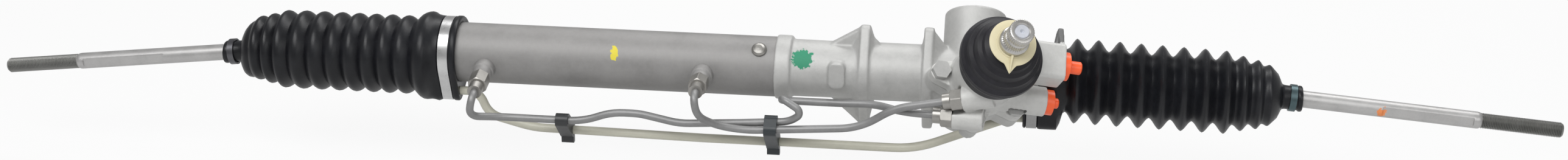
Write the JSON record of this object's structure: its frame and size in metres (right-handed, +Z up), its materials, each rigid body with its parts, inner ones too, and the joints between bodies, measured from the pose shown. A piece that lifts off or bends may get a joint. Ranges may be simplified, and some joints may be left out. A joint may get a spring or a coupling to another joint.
{
  "type": "rack and pinion steering gear",
  "caption": "Hydraulic power steering rack with leaning rotary valve housing, cylinder tube, bellows, tie rods, transfer pipes and a breather tube.",
  "frame": {"origin": "centre of the mounting saddle between its two flanges, on the rack's axis", "axes": "+X along the rack towards the pinion end, +Z up as it is fitted, -Y towards the side the input shaft leans to"},
  "size_m": [1.2562, 0.1709, 0.1561],
  "materials": {
    "ground_steel": "ground bright steel with a film of oil",
    "forged_steel": "forged and turned steel, plain",
    "tie_rod_steel": "turned steel, zinc plated, threads darker",
    "shaft_steel": "turned steel with rolled splines",
    "spring_steel": "dark oiled spring steel",
    "spring_steel_teal": "spring steel with a teal coating",
    "tube_steel": "drawn tube, dull phosphate finish",
    "nut_steel": "turned steel, dull zinc",
    "pipe_steel": "bent steel pipe, dull zinc",
    "band_steel": "bright stainless strip",
    "cast_aluminium": "sand-blasted die casting",
    "cast_aluminium_pale": "sand-blasted die casting with machined faces",
    "seal_ptfe": "filled fluoropolymer ring",
    "seal_rubber": "moulded nitrile",
    "cover_rubber": "moulded rubber, matte",
    "boot_rubber": "moulded elastomer, slight sheen",
    "bearing_nylon": "moulded bearing plastic",
    "cream_plastic": "moulded plastic, cream",
    "orange_plastic": "moulded transit plug, orange red",
    "breather_plastic": "pale tube with dust on it",
    "clip_plastic": "moulded plastic, black",
    "clip_plastic_teal": "moulded plastic, near black"
  },
  "bodies": {
    "housing": {"gear_housing": "cast_aluminium", "valve_housing": "cast_aluminium_pale", "housing_bolts": "nut_steel", "cylinder_tube": "tube_steel", "cylinder_port_bosses": "tube_steel", "cylinder_flare_nuts": "nut_steel", "cylinder_end_stopper": "cast_aluminium", "outer_rack_seal": "seal_rubber", "inner_seal_holder": "cast_aluminium", "inner_rack_seal": "seal_rubber", "cylinder_plug": "nut_steel", "rack_bush": "bearing_nylon", "valve_flare_nuts": "nut_steel", "upper_port_plug": "orange_plastic", "lower_port_plug": "orange_plastic", "lower_bearing_outer": "ground_steel", "lower_bearing_balls": "ground_steel", "pinion_bottom_cap": "cast_aluminium", "pinion_seal": "seal_rubber", "upper_bearing": "ground_steel", "input_seal": "seal_rubber", "input_snap_ring": "spring_steel", "dust_cover": "cover_rubber", "rack_yoke": "cast_aluminium", "yoke_liner": "bearing_nylon", "yoke_spring": "spring_steel", "yoke_plug": "cast_aluminium", "left_boot": "boot_rubber", "right_boot": "boot_rubber", "left_boot_band": "band_steel", "right_boot_band": "band_steel", "left_cylinder_pipe": "pipe_steel", "right_cylinder_pipe": "pipe_steel", "breather_tube": "breather_plastic", "left_pipe_clip": "clip_plastic", "right_pipe_clip": "clip_plastic_teal"},
    "rack": {"rack_bar": "ground_steel", "piston": "ground_steel", "piston_ring": "seal_ptfe", "left_ball_socket": "forged_steel", "right_ball_socket": "forged_steel", "left_lock_washer": "spring_steel", "right_lock_washer": "spring_steel"},
    "left_seat": {"left_ball_seat": "bearing_nylon"},
    "right_seat": {"right_ball_seat": "bearing_nylon"},
    "left_rod": {"left_tie_rod": "tie_rod_steel", "left_boot_clip": "spring_steel"},
    "right_rod": {"right_tie_rod": "tie_rod_steel", "right_boot_clip": "spring_steel_teal"},
    "pinion_body": {"pinion": "ground_steel", "pinion_nut": "nut_steel", "valve_sleeve": "ground_steel", "valve_sleeve_rings": "seal_ptfe", "lower_bearing_inner": "ground_steel"},
    "input_body": {"input_shaft": "shaft_steel", "torsion_bar": "spring_steel", "torsion_bar_pin": "ground_steel", "shaft_protector": "cream_plastic"}
  },
  "joints": [
    {"name": "rack_slide", "type": "slide", "parent": "housing", "child": "rack", "axis": [1, 0, 0], "range_m": [-0.07, 0.07], "deforming": ["left_boot", "right_boot"]},
    {"name": "pinion_spin", "type": "hinge", "parent": "housing", "child": "pinion_body", "pos_m": [0.06, -0.00975, -0.01046], "axis": [0.2588, -0.7064, 0.6588], "range_deg": [-555, 555]},
    {"name": "input_twist", "type": "hinge", "parent": "pinion_body", "child": "input_body", "pos_m": [0.06, -0.00975, -0.01046], "axis": [0.2588, -0.7064, 0.6588], "range_deg": [-4, 4], "stiffness_Nm_per_rad": 70},
    {"name": "left_rod_lift", "type": "hinge", "parent": "rack", "child": "left_seat", "pos_m": [-0.463, 0, 0], "axis": [0, 1, 0], "range_deg": [-13.5, 26.5], "deforming": ["left_boot"]},
    {"name": "left_rod_swing", "type": "hinge", "parent": "left_seat", "child": "left_rod", "pos_m": [-0.463, 0, 0], "axis": [-0.1132, 0, 0.9936], "range_deg": [-10, 10], "deforming": ["left_boot"]},
    {"name": "right_rod_lift", "type": "hinge", "parent": "rack", "child": "right_seat", "pos_m": [0.235, 0, 0], "axis": [0, 1, 0], "range_deg": [-24.6, 15.4], "deforming": ["right_boot"]},
    {"name": "right_rod_swing", "type": "hinge", "parent": "right_seat", "child": "right_rod", "pos_m": [0.235, 0, 0], "axis": [0.0802, 0, 0.9968], "range_deg": [-10, 10], "deforming": ["right_boot"]}
  ],
  "couplings": [
    {"joint": "pinion_spin", "follows": "rack_slide", "rad_per_m": -137.99}
  ]
}
